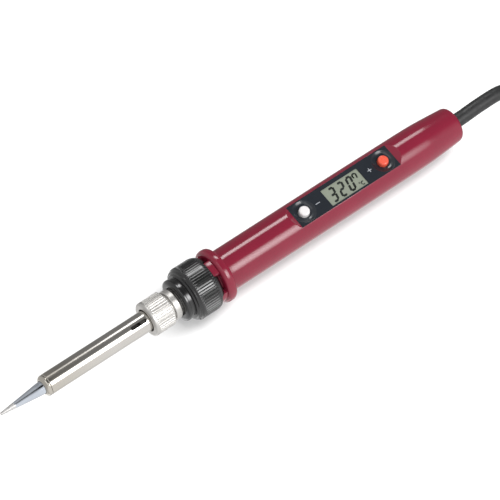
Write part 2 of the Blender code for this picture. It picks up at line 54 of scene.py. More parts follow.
TIP_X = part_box("soldering_tip")[0][0]
REAR_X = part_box("handle_shell")[1][0]
AXIS_Z = (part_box("handle_shell")[0][2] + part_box("handle_shell")[1][2]) / 2
REAR_STATION = (REAR_X - TIP_X) * 1000

# Tip, tube, nut and collar
TUBE_RADIUS = 4.44
TUBE_WALL = 0.45
TUBE_FRONT = 19.6
TUBE_FLANGE = (76.1, 77.0)
SLOT_MIDDLE = 65.1
SLOT_HALF = (3.7, 0.78)
SLOT_TURN = math.radians(17)  # from straight up to the first of the three slots
NUT_RADIUS = 7.38
NUT_FLUTES = 44
COLLAR_RADIUS = 11.65
COLLAR_RIBS = 64

# Handle, panel and buttons
HANDLE_RADIUS = 9.05
PANEL_MIDDLE = 169.5
PANEL_LENGTH = 51.4
PANEL_TOP = 7.15
PANEL_THICK = 1.35
PANEL_HALF_WIDTH = 5.45
FLAT_FRONT = PANEL_MIDDLE - PANEL_LENGTH / 2
FLAT_REAR = PANEL_MIDDLE + PANEL_LENGTH / 2
RAMP_LENGTH = 2.7
WINDOW = (18.7, 8.3)
WINDOW_ASIDE = -0.48  # the window sits a little towards -Y in its panel
BUTTON_OFFSET = 20.6
BUTTON_RADIUS = 2.25
BUTTON_TOP = 8.35
BUTTON_HOLE = 2.5
BOWL_START, BOWL_RADIUS = 2.45, 5.0
BOWL_CURVE = 0.236  # radians of slope gained per millimetre outwards
BOWL_DEPTH = -math.log(math.cos(BOWL_CURVE * (BOWL_RADIUS - BOWL_START))) / BOWL_CURVE
BOWL_FLOOR = PANEL_TOP - BOWL_DEPTH

# Display and printed marks
FACE_TOP = PANEL_TOP - 0.35
INK = 0.02  # thickness of a printed mark or display segment
DIGIT = (3.15, 6.9)
DIGIT_SLANT = 0.22
STROKE = 1.0
SEGMENT_GAP = 0.07
LIT = {"3": "abcdg", "2": "abdeg", "0": "abcdef"}
READING = (("3", -5.75), ("2", -1.25), ("0", 3.25))  # digits and their middles from the panel's

# Mains lead and plug
CORD_RADIUS = 3.05
HANK_NEAR = 0.173
HANK_RUN = 0.099
HANK_LOOP = 6 * CORD_RADIUS
HANK_PINCH = 10.0
HANK_TURNS = 3
TURN_RISE = 6.2
TIE_THICK = 0.9
PLUG_Z = 0.0075

SHARP = 38  # degrees between two faces from which their edge is sharp


def at(station, y=0.0, z=0.0):
    """A point at a station, with y and z in millimetres from the iron's axis."""
    return Vector((TIP_X + station * MM, y * MM, AXIS_Z + z * MM))


def link(name, data, finish=None):
    """Puts a mesh, curve, light or camera in the scene as an object."""
    made = bpy.data.objects.new(name, data)
    bpy.context.scene.collection.objects.link(made)
    if finish:
        data.materials.append(finish)
    return made


def adjust(thing, **settings):
    """Sets a thing's properties by their names."""
    for name, value in settings.items():
        setattr(thing, name, value)
    return thing


def facing(right, up, back, place):
    """The matrix of an object at a place, with these directions as its x, y and z."""
    return Matrix.Translation(place) @ Matrix((right, up, back)).transposed().to_4x4()


# ---- camera

SIGHT_TILT = 0.37  # sine of the angle by which the camera looks from the tip's side
SIGHT_ROLL = math.radians(20)  # how far it leans over the iron's right side
PICTURE_TURN = math.radians(32.74)  # how far the iron rises across the picture
CAMERA_DISTANCE = 1.15
CAMERA_LENS = 207.7
AIM_STATION = 123.02
AIM_ASIDE = 0.00124


def make_camera():
    """A long lens, looking down on the iron's display from the tip's end and its right side."""
    ahead = math.sqrt(1 - SIGHT_TILT**2)
    lean, rise = math.sin(SIGHT_ROLL), math.cos(SIGHT_ROLL)
    towards = Vector((-SIGHT_TILT, -ahead * lean, ahead * rise))
    along = Vector((ahead, -SIGHT_TILT * lean, SIGHT_TILT * rise))
    across = Vector((0.0, rise, lean))
    right = along * math.cos(PICTURE_TURN) - across * math.sin(PICTURE_TURN)
    up = along * math.sin(PICTURE_TURN) + across * math.cos(PICTURE_TURN)
    data = bpy.data.cameras.new("camera")
    data.lens = CAMERA_LENS
    data.sensor_width = 36.0
    data.clip_start, data.clip_end = 0.05, 20.0
    camera = link("camera", data)
    place = at(AIM_STATION) + across * AIM_ASIDE + towards * CAMERA_DISTANCE
    camera.matrix_world = facing(right, up, towards, place)
    bpy.context.scene.camera = camera


make_camera()


# ---- node helpers


class Tree:
    """A small hand for building a node tree."""

    def __init__(self, tree):
        self.tree = tree

    def new(self, kind, **settings):
        return adjust(self.tree.nodes.new(kind), **settings)

    def feed(self, target, value):
        """Links an output to an input, or sets the input to a number or a colour."""
        if isinstance(value, bpy.types.NodeSocket):
            self.tree.links.new(value, target)
        else:
            target.default_value = (*value, 1.0) if isinstance(value, tuple) else value

    def fill(self, node, **values):
        """Feeds a node's inputs by their names, with underscores for spaces."""
        for name, value in values.items():
            self.feed(node.inputs[name.replace("_", " ")], value)

    def part(self, source, axis):
        """One coordinate of a vector."""
        split = self.new("ShaderNodeSeparateXYZ")
        self.feed(split.inputs[0], source)
        return split.outputs[axis]

    def math(self, operation, *values):
        made = self.new("ShaderNodeMath", operation=operation)
        for target, value in zip(made.inputs, values, strict=False):
            self.feed(target, value)
        return made.outputs[0]

    def spread(self, source, low, high, start=0.3, end=0.7, easing="LINEAR"):
        """Maps a value's range, from start to end, onto low to high, held at its ends."""
        made = self.new("ShaderNodeMapRange", interpolation_type=easing)
        self.fill(made, Value=source, From_Min=start, From_Max=end, To_Min=low, To_Max=high)
        return made.outputs["Result"]


class Finish(Tree):
    """A small hand for building a material's node tree."""

    def __init__(self, material):
        super().__init__(material.node_tree)
        self.shader = self.tree.nodes["Principled BSDF"]

    def set(self, name, value):
        """Sets or links one of the shader's inputs."""
        self.feed(self.shader.inputs[name], value)

    def place(self):
        """Where a point is on its own piece, in metres, whatever body it moves with."""
        return self.new("ShaderNodeTexCoord").outputs["Object"]

    def noise(self, scale, detail=3.0, stretch=None):
        """Noise over the piece, with a scale of its own for each axis if stretch gives one."""
        made = self.new("ShaderNodeTexNoise")
        source = self.place()
        if stretch:
            mapping = self.new("ShaderNodeMapping")
            mapping.inputs["Scale"].default_value = stretch
            self.fill(mapping, Vector=source)
            source = mapping.outputs["Vector"]
        self.fill(made, Scale=scale, Detail=detail, Vector=source)
        return made.outputs["Fac"]

    def blend(self, share, first, second, **settings):
        """A colour between two, by a share from 0 to 1. Each is a colour or a socket."""
        made = self.new("ShaderNodeMix", data_type="RGBA", **settings)
        for slot, value in ((0, share), (6, first), (7, second)):
            self.feed(made.inputs[slot], value)
        return made.outputs[2]

    def drift(self, source, first, second):
        """A colour that drifts between two with some noise."""
        return self.blend(self.spread(source, 0.0, 1.0), first, second)

    def bump(self, height, strength, distance):
        made = self.new("ShaderNodeBump")
        self.fill(made, Strength=strength, Distance=distance, Height=height)
        return made.outputs["Normal"]


# ---- materials


def material(name, colour, roughness, metallic=0.0, **sockets):
    """A principled material. Other sockets are named with underscores for spaces."""
    made = bpy.data.materials.new(name)
    made.use_nodes = True
    hand = Finish(made)
    hand.fill(hand.shader, Base_Color=colour, Roughness=roughness, Metallic=metallic, **sockets)
    return made, hand


def plastic(name, colour, roughness, mottle=0.06, grain=3000.0, depth=1.2e-5, ior=1.5):
    """Moulded plastic: a faint drift in colour, uneven gloss, and a fine moulded grain."""
    made, hand = material(name, colour, roughness, IOR=ior)
    darker = tuple(c * (1 - mottle) for c in colour)
    lighter = tuple(min(1.0, c * (1 + mottle)) for c in colour)
    hand.set("Base Color", hand.drift(hand.noise(90.0, 2.0), darker, lighter))
    uneven = hand.noise(260.0, 4.0)
    hand.set("Roughness", hand.spread(uneven, roughness * 0.8, roughness * 1.25))
    hand.set("Normal", hand.bump(hand.noise(grain, 2.0), 0.5, depth))
    return made


def metal(name, colour, roughness, stretch, line_depth=4e-6, tint=0.05):
    """Worked metal: fine lines left by the tool, and uneven polish."""
    made, hand = material(name, colour, roughness, 1.0)
    lines = hand.noise(2600.0, 3.0, stretch)
    cloud = hand.noise(140.0, 3.0)
    duller = tuple(c * (1 - tint) for c in colour)
    hand.set("Base Color", hand.drift(cloud, duller, colour))
    polish = hand.spread(cloud, roughness * 0.85, roughness * 1.2)
    swing = hand.spread(lines, -1.0, 1.0)
    hand.set("Roughness", hand.math("MULTIPLY_ADD", swing, roughness * 0.25, polish))
    hand.set("Normal", hand.bump(lines, 0.4, line_depth))
    return made


LENGTHWAYS = (0.03, 1.0, 1.0)  # stretches noise into lines along the iron
EVEN = (1.0, 1.0, 1.0)  # leaves it as it is


def make_steel():
    """Polished steel, tinted by heat over the tip's end."""
    made = metal("heater_tube_steel", (0.66, 0.635, 0.60), 0.13, LENGTHWAYS, 8e-7, 0.04)
    hand = Finish(made)
    along = hand.part(hand.place(), "X")
    cool = hand.spread(along, 0.0, 1.0, TIP_X + 0.018, TIP_X + 0.05)
    untinted = hand.shader.inputs["Base Color"].links[0].from_socket
    tint = hand.blend(cool, (0.86, 0.84, 0.79), (1.0, 1.0, 1.0))
    hand.set("Base Color", hand.blend(1.0, untinted, tint, blend_type="MULTIPLY"))
    return made


def make_tip_plate():
    """Bright chrome, with a duller tinned end that stops at a ragged line."""
    made, hand = material("tip_plate", (0.62, 0.66, 0.72), 0.14, 1.0)
    along = hand.part(hand.place(), "X")
    ragged = hand.math("MULTIPLY_ADD", hand.noise(900.0, 2.0), 0.0007, along)
    edge = TIP_X + 0.0067
    tinned = hand.spread(ragged, 1.0, 0.0, edge, edge + 0.00025)
    cloud = hand.noise(1300.0, 3.0)
    tin = hand.drift(cloud, (0.50, 0.49, 0.48), (0.80, 0.79, 0.78))
    chrome = hand.drift(hand.noise(200.0, 2.0), (0.58, 0.62, 0.69), (0.66, 0.70, 0.76))
    hand.set("Base Color", hand.blend(tinned, chrome, tin))
    rough = hand.new("ShaderNodeMix")
    chrome_rough = hand.spread(hand.noise(300.0, 2.0), 0.06, 0.12)
    tin_rough = hand.spread(cloud, 0.34, 0.52)
    for slot, value in ((0, tinned), (2, chrome_rough), (3, tin_rough)):
        hand.feed(rough.inputs[slot], value)
    hand.set("Roughness", rough.outputs[0])
    hand.set("Normal", hand.bump(hand.math("MULTIPLY", cloud, tinned), 0.6, 6e-5))
    return made


def make_cord_rubber():
    """Flexible PVC: matt, with a faint drift in colour and scuffs."""
    made, hand = material("cord_black", (0.030, 0.031, 0.032), 0.5, IOR=1.5)
    flow = hand.noise(700.0, 3.0)
    hand.set("Base Color", hand.drift(flow, (0.014, 0.0145, 0.015), (0.026, 0.0265, 0.027)))
    hand.set("Roughness", hand.spread(hand.noise(420.0, 4.0), 0.36, 0.58))
    hand.set("Normal", hand.bump(hand.noise(1800.0, 3.0), 0.5, 4e-5))
    return made


def make_lcd():
    """Grey-green reflective display under a glossy sheet."""
    gloss = {"IOR": 1.5, "Coat_Weight": 0.6, "Coat_Roughness": 0.08}
    made, hand = material("lcd_face", (0.27, 0.30, 0.235), 0.35, **gloss)
    fine = hand.noise(5200.0, 2.0)
    hand.set("Base Color", hand.drift(fine, (0.255, 0.285, 0.222), (0.285, 0.315, 0.25)))
    return made


def make_braid(name, colour):
    """Woven strap: small over-and-under ridges on a matt base, with painted shade in the weave's
    hollows and a painted highlight on its ridges.
    """
    made, hand = material(name, colour, 0.85, Sheen_Weight=0.3)
    waves = []
    for direction in ("X", "DIAGONAL"):
        wave = hand.new("ShaderNodeTexWave", wave_type="BANDS", bands_direction=direction)
        hand.fill(wave, Scale=420.0, Vector=hand.place())
        waves.append(wave.outputs["Fac"])
    weave = hand.math("MULTIPLY", *waves)
    # Painted shade and painted highlight: the colour is darker where the weave is low and lighter
    # where it is high.
    shaded_hollow, lit_ridge = (tuple(c * share for c in colour) for share in (0.6, 1.5))
    hand.set("Base Color", hand.blend(weave, shaded_hollow, lit_ridge))
    hand.set("Normal", hand.bump(weave, 0.7, 0.0001))
    return made


def make_board_green():
    """Green solder mask over faint copper tracks."""
    made, hand = material("board_green", (0.02, 0.14, 0.05), 0.35, IOR=1.5)
    tracks = hand.new("ShaderNodeTexBrick", offset=0.5)
    mask = {"Color1": (0.015, 0.12, 0.045), "Color2": (0.02, 0.17, 0.06)}
    hand.fill(tracks, Scale=260.0, Vector=hand.place(), **mask)
    hand.fill(tracks, Mortar=(0.05, 0.28, 0.10), Mortar_Size=0.06)
    hand.set("Base Color", tracks.outputs["Color"])
    hand.set("Normal", hand.bump(tracks.outputs["Fac"], 0.3, 3e-5))
    return made


STEEL = make_steel()
NICKEL = metal("nickel_plate", (0.655, 0.64, 0.615), 0.42, EVEN, 6e-6, 0.10)
TIP_PLATE = make_tip_plate()
# A used heater is greyed; this one is painted near black beyond that, as painted shade, so that it
# reads dark through the tube's slots.
GREYED_AND_SHADED_CERAMIC = plastic("ceramic_greyed_and_shaded", (0.05, 0.045, 0.04), 0.7, 0.1, 1600.0, 2e-5)
# Painted shade: the inside of the tube is near black so that it reads dark through the slots.
BORE_SHADE = metal("tube_inside", (0.06, 0.055, 0.05), 0.6, LENGTHWAYS)
BRASS = metal("brass", (0.72, 0.53, 0.24), 0.25, LENGTHWAYS)
PIN_PLATE = metal("pin_plate", (0.72, 0.70, 0.67), 0.2, LENGTHWAYS)
RED = plastic("red_plastic", (0.235, 0.012, 0.035), 0.11, 0.05, 2600.0, 6e-6, 1.52)
BLACK = plastic("black_plastic", (0.004, 0.0042, 0.0046), 0.17, 0.10, 2400.0, 5e-6, 1.72)
PANEL = plastic("panel_black", (0.016, 0.020, 0.027), 0.13, 0.06, 3000.0, 4e-6)
PLUG_BLACK = plastic("plug_black", (0.028, 0.028, 0.03), 0.42, 0.10, 1800.0, 3e-5)
CHIP = plastic("chip_black", (0.02, 0.02, 0.02), 0.5, 0.1, 4000.0, 1e-5)
WHITE = plastic("white_button", (0.86, 0.83, 0.83), 0.28, 0.02)
ORANGE = plastic("red_button", (0.87, 0.115, 0.065), 0.28, 0.04)
BLUE = plastic("capacitor_blue", (0.04, 0.09, 0.34), 0.25, 0.08)
GREY = plastic("resistor_grey", (0.35, 0.40, 0.45), 0.45, 0.06)
WIRE_WHITE = plastic("wire_white", (0.75, 0.75, 0.72), 0.5, 0.04)
WIRE_BROWN = plastic("wire_brown", (0.20, 0.07, 0.03), 0.4, 0.08)
WIRE_BLUE = plastic("wire_blue", (0.03, 0.12, 0.45), 0.4, 0.08)
WIRE_GREEN = plastic("wire_green", (0.10, 0.40, 0.05), 0.4, 0.08)
PRINT = plastic("white_print", (0.40, 0.42, 0.46), 0.5, 0.03)
SEGMENT = plastic("lcd_segment", (0.007, 0.011, 0.008), 0.3, 0.05)
BOARD = make_board_green()
LCD = make_lcd()
CORD = make_cord_rubber()
STRAP = make_braid("strap_weave", (0.03, 0.03, 0.032))


# ---- shape helpers


def smooth(made, sharp=SHARP):
    """Shades a piece smooth but for the edges that are sharper than an angle in degrees."""
    made.data.shade_smooth()
    made.data.set_sharp_from_angle(angle=math.radians(sharp))
    return made


def object_from(name, form, finish=None):
    """An object from a bmesh, which is used up, with its faces outwards."""
    bmesh.ops.recalc_face_normals(form, faces=form.faces)
    data = bpy.data.meshes.new(name)
    form.to_mesh(data)
    form.free()
    return link(name, data, finish)


def ring_faces(rows, count, loop):
    """Faces between rows of points that each go once round. Loop joins the last to the first."""
    return [
        (i * count + j, i * count + (j + 1) % count, k * count + (j + 1) % count, k * count + j)
        for i, k in ((i, (i + 1) % rows) for i in range(rows if loop else rows - 1))
        for j in range(count)
    ]


def mesh_from(name, points, faces, finish, sharp=SHARP):
    """A closed mesh with welded points and smooth shading but for sharp edges."""
    loose = bpy.data.meshes.new("loose")
    loose.from_pydata([tuple(p) for p in points], [], faces)
    form = bmesh.new()
    form.from_mesh(loose)
    bpy.data.meshes.remove(loose)
    weld = 2e-7
    bmesh.ops.remove_doubles(form, verts=form.verts, dist=weld)
    bmesh.ops.dissolve_degenerate(form, edges=form.edges, dist=weld)
    return smooth(object_from(name, form, finish), sharp)


def rounded(corners, parts=5):
    """A profile through (station, radius, fillet) corners, each corner rounded by its fillet."""
    points = []
    for i, (s, r, fillet) in enumerate(corners):
        here = np.array((s, r), float)
        if not fillet or i in (0, len(corners) - 1):
            points.append(here)
            continue
        before = np.array(corners[i - 1][:2], float) - here
        after = np.array(corners[i + 1][:2], float) - here
        cut = min(fillet, 0.49 * np.linalg.norm(before), 0.49 * np.linalg.norm(after))
        start = here + before / np.linalg.norm(before) * cut
        end = here + after / np.linalg.norm(after) * cut
        for k in range(parts + 1):
            t = k / parts
            points.append((1 - t) ** 2 * start + 2 * t * (1 - t) * here + t**2 * end)
    return np.array(points)


def subdivided(profile, longest):
    """The same profile with no stretch longer than a length in millimetres."""
    points = [profile[0]]
    for a, b in zip(profile, profile[1:], strict=False):
        parts = max(1, math.ceil(np.linalg.norm(b - a) / longest))
        points.extend(a + (b - a) * (k + 1) / parts for k in range(parts))
    return np.array(points)


def turned(
    name, profile, finish=None, steps=96, loop=False,
    shape=None, angles=None, sharp=SHARP, over=None,
):
    """A piece turned about the iron's axis from (station, radius) points.

    Its angles are from straight up towards +Y, evenly spaced if none are given. With loop the
    profile closes on itself, round a bore. A shape function moves the radius by station and
    angle. Over a point, it is turned about an upright line instead, from (height, radius).
    """
    turn = np.arange(steps) * 2 * math.pi / steps if angles is None else angles
    way = np.repeat(profile[:, :1], len(turn), 1)
    radius = np.repeat(profile[:, 1:2], len(turn), 1)
    if shape:
        radius = shape(way, radius, turn[None, :])
    first, second = radius * np.cos(turn) * MM, radius * np.sin(turn) * MM
    if over is None:
        points = (TIP_X + way * MM, second, AXIS_Z + first)
    else:
        points = (over.x + first, over.y + second, over.z + way * MM)
    faces = ring_faces(len(profile), len(turn), loop)
    return mesh_from(name, np.stack(points, -1).reshape(-1, 3), faces, finish, sharp)


def plate(name, ring, low, high, finish=None):
    """A flat plate from a closed outline of (x, y) in metres, between two heights."""
    form = bmesh.new()
    face = form.faces.new([form.verts.new((x, y, low)) for x, y in ring])
    raised = bmesh.ops.extrude_face_region(form, geom=[face])
    verts = [v for v in raised["geom"] if isinstance(v, bmesh.types.BMVert)]
    bmesh.ops.translate(form, verts=verts, vec=(0, 0, high - low))
    return smooth(object_from(name, form, finish))


def round_rectangle(centre, half_x, half_y, corner, parts=6):
    """A closed outline of (x, y) with round corners."""
    ring = []
    for sx, sy, first in ((1, 1, 0), (-1, 1, 90), (-1, -1, 180), (1, -1, 270)):
        x, y = centre[0] + sx * (half_x - corner), centre[1] + sy * (half_y - corner)
        for k in range(parts + 1):
            a = math.radians(first + 90 * k / parts)
            ring.append((x + corner * math.cos(a), y + corner * math.sin(a)))
    return ring


def modify(made, kind, **settings):
    """Gives a piece a modifier and makes that part of its mesh."""
    adjust(made.modifiers.new(kind.lower(), kind), **settings)
    ready = made.evaluated_get(bpy.context.evaluated_depsgraph_get())
    data = bpy.data.meshes.new_from_object(ready)
    made.modifiers.clear()
    old = made.data
    made.data = data
    data.name = old.name
    bpy.data.meshes.remove(old)


def carve(made, cutter, operation="DIFFERENCE"):
    """Cuts a piece with another one, which is used up."""
    modify(made, "BOOLEAN", operation=operation, object=cutter, solver="EXACT")
    bpy.data.objects.remove(cutter, do_unlink=True)


def soften(made, width, segments, angle, join=None):
    """Rounds a piece's sharp edges, after joining points that are closer than join."""
    if join:
        modify(made, "WELD", merge_threshold=join * MM)
    how = {"limit_method": "ANGLE", "angle_limit": math.radians(angle), "harden_normals": True}
    modify(made, "BEVEL", width=width * MM, segments=segments, use_clamp_overlap=not join, **how)


def place_on(made, body, slot, *nodes):
    """A piece rides on a body and stands for its CAD nodes, which it hides. Its slot is not used.
    """
    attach(made, body)
    if nodes:
        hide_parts(*nodes)
    return made


# ---- mains lead


def hank_side(share):
    """Half the width between the two runs, at a share of a run from its middle, -1 to 1."""
    return HANK_LOOP - HANK_PINCH * math.cos(math.pi / 2 * share) ** 2


def hank_route(lowest):
    """The lead's turns, from the middle of the run on -Y, rising only along the run on +Y."""
    centre = HANK_NEAR + HANK_RUN / 2 + (HANK_LOOP + CORD_RADIUS) * MM
    half, loop = HANK_RUN / 2, HANK_LOOP * MM

    def run(first, last, steps, side, low, rise=0.0):
        for i in range(steps):
            share = first + (last - first) * i / steps
            height = low + (0.5 - 0.5 * math.cos(math.pi * i / steps)) * rise
            yield Vector((centre + share * half, side * hank_side(share) * MM, height))

    def bend(end, height):
        for i in range(8):
            a = math.pi / 2 * (1 - 2 * i / 8)
            ahead = end * (half + loop * math.cos(a))
            yield Vector((centre + ahead, -end * loop * math.sin(a), height))

    route = []
    for turn in range(HANK_TURNS):
        rise = TURN_RISE * MM
        base = lowest + turn * rise
        route += [*run(0, 1, 7, -1, base), *bend(1, base), *run(1, -1, 14, 1, base, rise)]
        route += [*bend(-1, base + rise), *run(-1, 0, 7, -1, base + rise)]
    return route


def lead_route():
    """The whole lead: out of the handle, down to the surface, round the hank, to the plug."""
    lowest = (TIE_THICK + 0.5 + CORD_RADIUS) * MM
    top = lowest + HANK_TURNS * TURN_RISE * MM
    far = HANK_NEAR + HANK_RUN + 2 * (HANK_LOOP + CORD_RADIUS) * MM
    into_hank = ((0.0, -0.0042), (0.016, -0.0062), (0.034, -0.0078), (0.052, -0.0083))
    return [
        at(211.0),
        at(222.0),
        at(233.0),
        at(243.0, 0.3, 0.3),
        at(254.0, 0.3, 0.0),
        Vector((HANK_NEAR - 0.027, -0.0005, 0.0098)),
        Vector((HANK_NEAR - 0.015, -0.002, 0.0062)),
        Vector((HANK_NEAR - 0.0065, -0.0032, 0.0047)),
        *(Vector((HANK_NEAR + x, y, lowest)) for x, y in into_hank),
        *hank_route(lowest)[1:],
        *(Vector((far - x, y, top)) for x, y in reversed(into_hank)),
        Vector((far + 0.010, -0.0034, top - 0.0012)),
        Vector((far + 0.022, -0.0022, top - 0.0065)),
        Vector((far + 0.034, -0.0009, top - 0.0130)),
        Vector((far + 0.044, 0.0, PLUG_Z + 0.0006)),
        Vector((far + 0.0517, 0.0, PLUG_Z)),
    ]


def smooth_through(points, spacing):
    """Evenly spaced points along a smooth curve through the given ones."""
    ends = [points[0] * 2 - points[1], *points, points[-1] * 2 - points[-2]]
    fine = []
    for a, b, c, d in zip(ends, ends[1:], ends[2:], ends[3:], strict=False):
        slope, bend, twist = c - a, 2 * a - 5 * b + 4 * c - d, 3 * b - 3 * c + d - a
        for i in range(24):
            t = i / 24
            fine.append(0.5 * (2 * b + slope * t + bend * t**2 + twist * t**3))
    fine.append(points[-1])
    total = sum((b - a).length for a, b in zip(fine, fine[1:], strict=False))
    count = max(2, round(total / spacing))
    even, walked, due = [fine[0]], 0.0, total / count
    for a, b in zip(fine, fine[1:], strict=False):
        length = (b - a).length
        while walked + length >= due - 1e-9 and len(even) < count:
            even.append(a.lerp(b, (due - walked) / length))
            due += total / count
        walked += length
    return [*even, points[-1]]


def make_lead():
    """A round flexible tube along the whole route, with filled ends."""
    points = smooth_through(lead_route(), 2.2 * MM)
    curve = bpy.data.curves.new("mains_lead", "CURVE")
    adjust(curve, dimensions="3D", bevel_depth=CORD_RADIUS * MM, bevel_resolution=8)
    curve.use_fill_caps = True
    spline = curve.splines.new("POLY")
    spline.points.add(len(points) - 1)
    for point, place in zip(spline.points, points, strict=True):
        point.co = (*place, 1)
    lead = link("mains_lead", curve, CORD)
    return place_on(lead, "handle", "cord_black", "cord_lead", "cord_hank", "cord_tail")


LEAD = make_lead()


# ---- tip, tube and nut


def make_tip():
    """Long cone with a tinned point, on the shank that fills the tube's front."""
    corners = [
        (0, 0, 0), (0, 0.55, 0.5), (6.6, 1.28, 2), (17.5, 2.54, 3), (20, 2.74, 0.4),
        (21.7, 2.74, 0.15), (21.9, 3, 0.1), (22.2, 3.25, 0.2), (42, 3.25, 0.2),
        (42, 2.15, 0.15), (23.9, 2.15, 0.3), (23.2, 0, 0),
    ]
    profile = subdivided(rounded(corners, 6), 0.8)
    tip = turned("soldering_tip_fine", profile, TIP_PLATE)
    return place_on(tip, "tube", "tip_plate", "soldering_tip")


def make_tube():
    """Steel tube with a rolled lip, a fine groove behind it, three slots, and its bore behind the
    lip painted near black as painted shade.
    """
    inside = TUBE_RADIUS - TUBE_WALL
    front, (flange, end) = TUBE_FRONT, TUBE_FLANGE
    corners = [
        (front + 0.6, 2.87, 0), (front, 2.87, 0.15), (front + 0.1, 3.5, 0.4),
        (front + 0.9, 4.32, 0.9), (front + 1.9, TUBE_RADIUS, 0.3),
        (front + 2.15, TUBE_RADIUS - 0.18, 0.12), (front + 2.4, TUBE_RADIUS, 0.12),
        (flange - 0.1, TUBE_RADIUS, 0.2), (flange, 5.9, 0.1), (end, 5.9, 0.1),
        (end, inside, 0.1), (front + 2.2, inside - 0.05, 0.5), (front + 1.2, inside - 0.35, 0.2),
    ]
    profile = subdivided(rounded(corners, 7), 3.0)
    tube = turned("heater_tube_fine", profile, STEEL, 180, loop=True)
    half_long, half_wide = (size * MM for size in SLOT_HALF)
    for i in range(3):
        angle = SLOT_TURN + 2 * math.pi * i / 3
        outline = round_rectangle((0, 0), half_long, half_wide, 0.6 * MM)
        slot = plate(f"slot_{i}", outline, -MM, MM)
        sideways, upwards = -TUBE_RADIUS * math.sin(angle), TUBE_RADIUS * math.cos(angle)
        slot.location = at(SLOT_MIDDLE, sideways, upwards)
        slot.rotation_euler = (angle, 0, 0)
        bpy.context.view_layer.update()
        carve(tube, slot)
    smooth(tube)
    # Faces of the bore behind the lip take the painted shade.
    tube.data.materials.append(BORE_SHADE)
    behind_lip, bore_shade_radius = at(front + 1.5).x, (TUBE_RADIUS - 0.12) * MM
    for face in tube.data.polygons:
        x, y, z = face.center
        if math.hypot(y, z - AXIS_Z) < bore_shade_radius and x > behind_lip:
            face.material_index = 1
    return place_on(tube, "tube", "steel", "heater_tube")


def fluting(count, depth, front, rear, outside, width, run_out):
    """A shape function that sinks rounded flutes into a piece's skin between two stations.

    The skin is what lies outside a radius. A flute's width is a share of the spacing, and it
    runs out over a length at each end.
    """

    def shape(station, radius, turn):
        share = (turn * count / (2 * math.pi)) % 1.0
        off = np.abs(share - 0.5) / (width / 2)
        groove = np.clip(1 - off**2, 0, 1)
        begins = np.clip((station - front) / run_out, 0, 1)
        ends = np.clip((rear - station) / run_out, 0, 1)
        return radius - depth * groove * np.sqrt(begins * ends) * (radius > outside)

    return shape


def make_nut():
    """Knurled retaining nut, with a plain band and a round edge at its front."""
    r = NUT_RADIUS
    corners = [
        (75.8, 4.95, 0), (70, 4.95, 0.3), (70, 6.8, 0.45), (70.55, r, 0.35),
        (79.6, r, 0.45), (79.6, 6.25, 0.15), (75.8, 6.25, 0),
    ]
    profile = subdivided(rounded(corners, 6), 0.3)
    flutes = fluting(NUT_FLUTES, 0.2, 71.4, 79.4, 0.88 * r, 0.55, 0.5)
    steps = NUT_FLUTES * 10
    nut = turned("retaining_nut_fine", profile, NICKEL, steps, loop=True, shape=flutes)
    return place_on(nut, "nut", "nickel", "retaining_nut")


def make_bush():
    """Threaded bush: its front end, a neck, a round flange, and its shank inside the collar."""
    corners = [
        (77.3, 3.9, 0), (77.3, 5.6, 0.1), (77.6, 5.95, 0.1), (79.9, 5.95, 0.15),
        (80.1, 5.55, 0.1), (80.5, 5.55, 0.1), (80.75, 6.45, 0.7), (83.4, 6.45, 0.9),
        (83.9, 5.85, 0.2), (86.3, 5.85, 0), (86.3, 7.2, 0), (88.3, 7.2, 0),
        (88.3, 5.6, 0), (93, 5.6, 0), (93, 3.9, 0),
    ]
    profile = subdivided(rounded(corners, 6), 1.0)
    bush = turned("thread_bush_fine", profile, NICKEL, 160, loop=True)
    return place_on(bush, "handle", "nickel", "thread_bush")


# ---- collar and handle


def block(name, low, high):
    ring = [(low.x, low.y), (high.x, low.y), (high.x, high.y), (low.x, high.y)]
    return plate(name, ring, low.z, high.z)


def crossed_slabs(name, front, rear, width):
    """Two slabs that cross on the iron's axis, one upright and one level."""
    half, reach = width / 2, 13.0
    return [
        block(f"{name}_upright", at(front, -half, -reach), at(rear, half, reach)),
        block(f"{name}_level", at(front, -reach, -half), at(rear, reach, half)),
    ]


def make_collar():
    """Black front collar: smooth nose, two fine steps on its cone, and straight ribs."""
    r = COLLAR_RADIUS
    corners = [
        (86, 6.2, 0), (84.2, 6.2, 0.25), (84.25, 7.7, 0.6), (84.9, 9.14, 0.65),
        (86.2, 9.14, 0.25), (86.3, 8.7, 0.1), (87.95, 8.7, 0.1), (88, 9.75, 0.2),
        (88.35, 10.05, 0.15), (88.4, 9.85, 0.1), (88.75, 10.2, 0.1), (88.95, 10.9, 0.15),
        (89.4, 11.1, 0.15), (89.5, 10.95, 0.1), (89.8, 11.2, 0.2), (90.2, r, 0.3),
        (98.5, r, 0.9), (100.3, 10.95, 0.8), (101.4, 10.1, 0.25), (101.4, 8.25, 0),
        (93.5, 8.25, 0), (93.5, 7.6, 0), (86, 7.6, 0),
    ]
    profile = subdivided(rounded(corners, 4), 0.9)
    ribs = fluting(COLLAR_RIBS, 0.26, 90.4, 99.6, 0.9 * r, 0.48, 0.9)
    steps = COLLAR_RIBS * 8
    collar = turned("front_collar_fine", profile, BLACK, steps, loop=True, shape=ribs)
    for slab in crossed_slabs("notch", 99.7, 103, 7.7):
        carve(collar, slab)
    smooth(collar)
    place_on(collar, "handle", "black_plastic", "front_collar")


def soft_least(a, b, width):
    """The smaller of two values, with the change from one to the other rounded."""
    share = np.clip(0.5 + 0.5 * (b - a) / width, 0, 1)
    return b + (a - b) * share - width * share * (1 - share)


